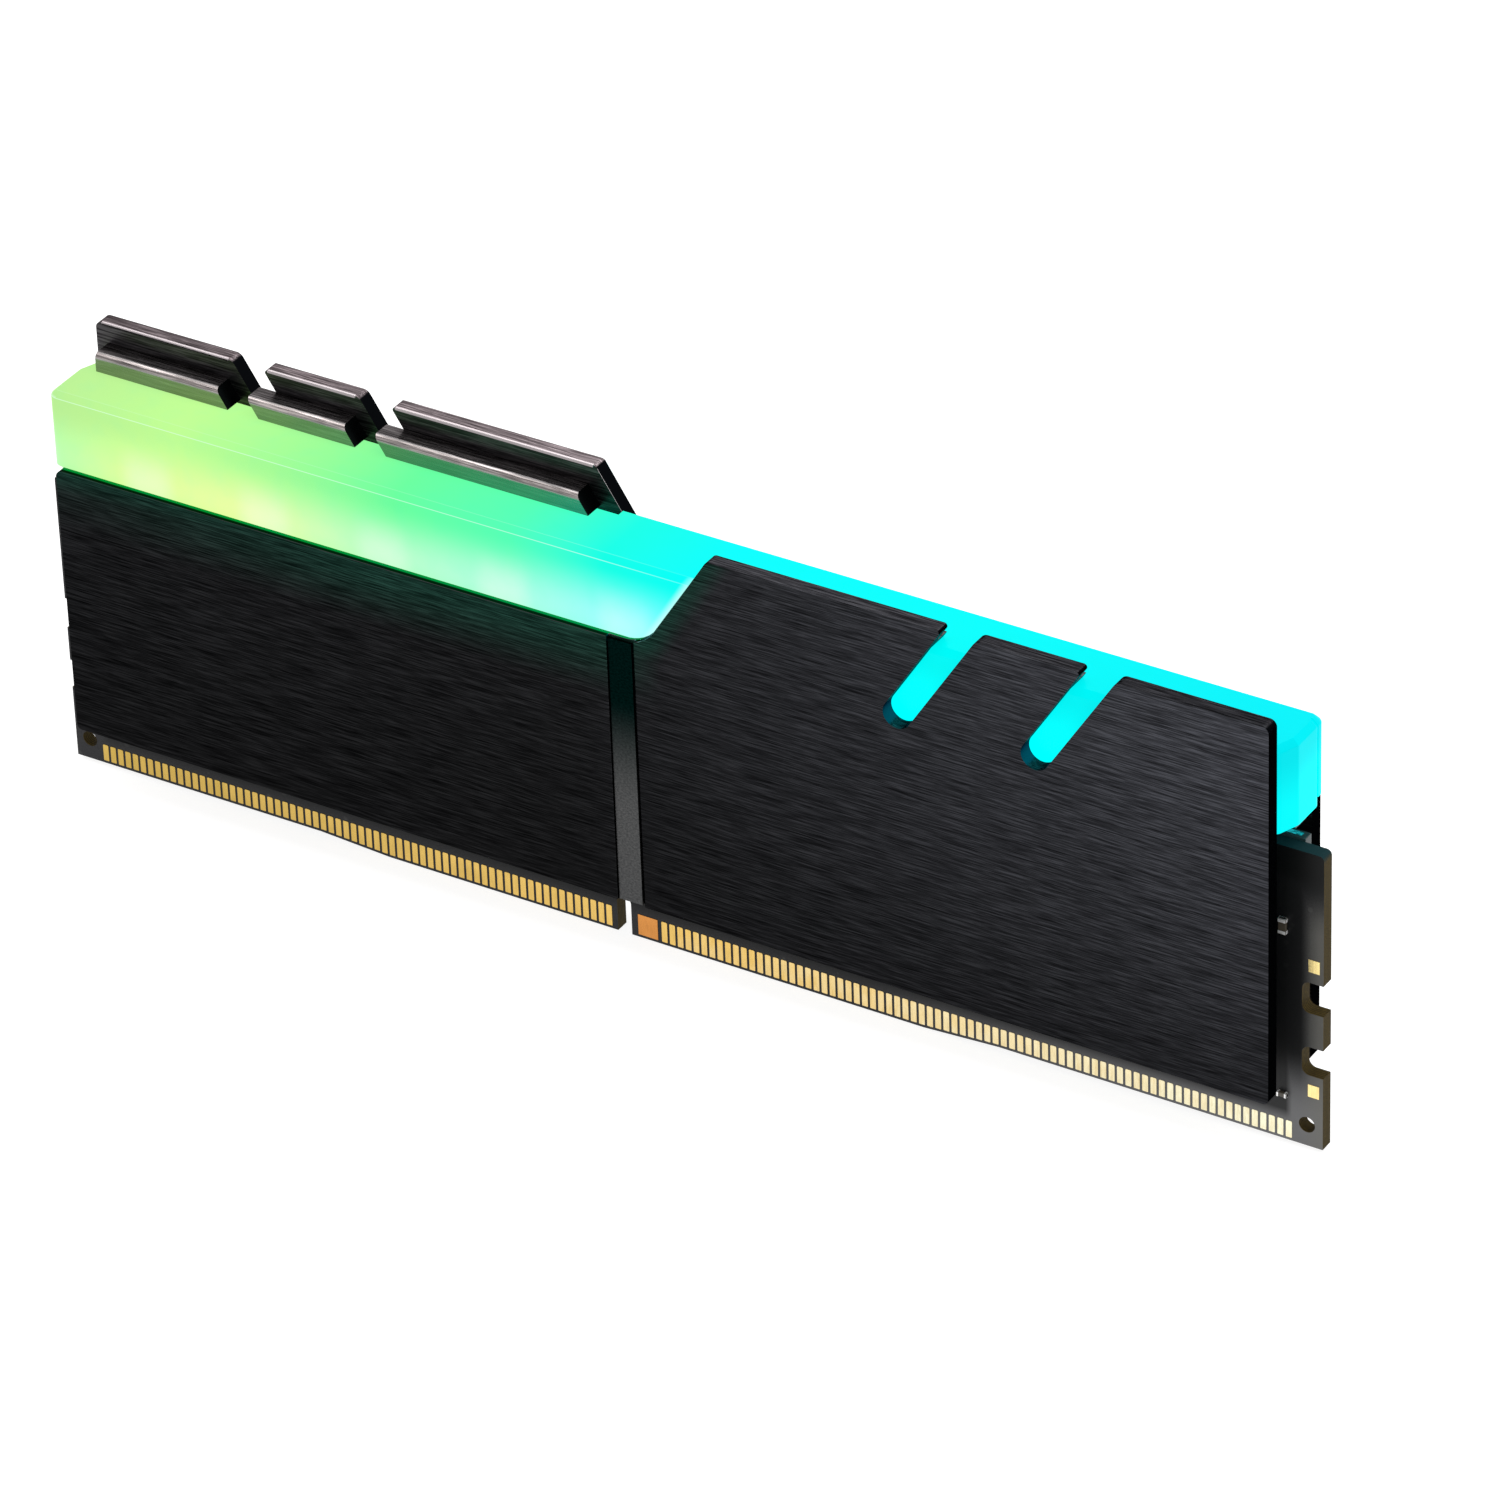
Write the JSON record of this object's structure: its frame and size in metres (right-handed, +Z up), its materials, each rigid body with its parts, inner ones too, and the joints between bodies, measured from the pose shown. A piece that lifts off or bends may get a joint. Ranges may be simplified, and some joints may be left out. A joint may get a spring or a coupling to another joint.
{
  "type": "memory module",
  "caption": "Desktop memory board held between two stepped, slotted black heat spreaders, with a milky glowing light bar along its top and gold edge contacts below.",
  "frame": {"origin": "middle of the board's length and thickness, at the lowest point of its contact edge", "axes": "+X along the board, +Z up from the contact edge, front face towards -Y"},
  "size_m": [0.1334, 0.0094, 0.0467],
  "materials": {
    "board": "matte black solder mask over glass laminate",
    "gold": "gold plated, satin",
    "copper": "bare copper, satin",
    "chip": "moulded epoxy, matte",
    "capacitor": "ceramic, satin",
    "resistor": "ceramic with a dark coat",
    "light": "clear lens",
    "thermal_pad": "soft silicone pad, matte",
    "spreader": "brushed and black anodised",
    "accent": "satin gunmetal",
    "diffuser": "milky translucent, lit from below"
  },
  "bodies": {
    "root": {"accent_strip_front": "accent", "accent_strip_rear": "accent", "contacts_front": "gold", "contacts_rear": "gold", "copper_patch": "copper", "decoupling_capacitors": "capacitor", "dram_front_1": "chip", "dram_front_2": "chip", "dram_front_3": "chip", "dram_front_4": "chip", "dram_front_5": "chip", "dram_front_6": "chip", "dram_front_7": "chip", "dram_front_8": "chip", "dram_rear_1": "chip", "dram_rear_2": "chip", "dram_rear_3": "chip", "dram_rear_4": "chip", "dram_rear_5": "chip", "dram_rear_6": "chip", "dram_rear_7": "chip", "dram_rear_8": "chip", "heatspreader_front": "spreader", "heatspreader_rear": "spreader", "led_1": "light", "led_10": "light", "led_2": "light", "led_3": "light", "led_4": "light", "led_5": "light", "led_6": "light", "led_7": "light", "led_8": "light", "led_9": "light", "led_controller": "chip", "light_bar": "diffuser", "pcb": "board", "series_resistors": "resistor", "spd_eeprom": "chip", "test_pads": "gold", "thermal_pad_front": "thermal_pad", "thermal_pad_rear": "thermal_pad"}
  },
  "joints": []
}
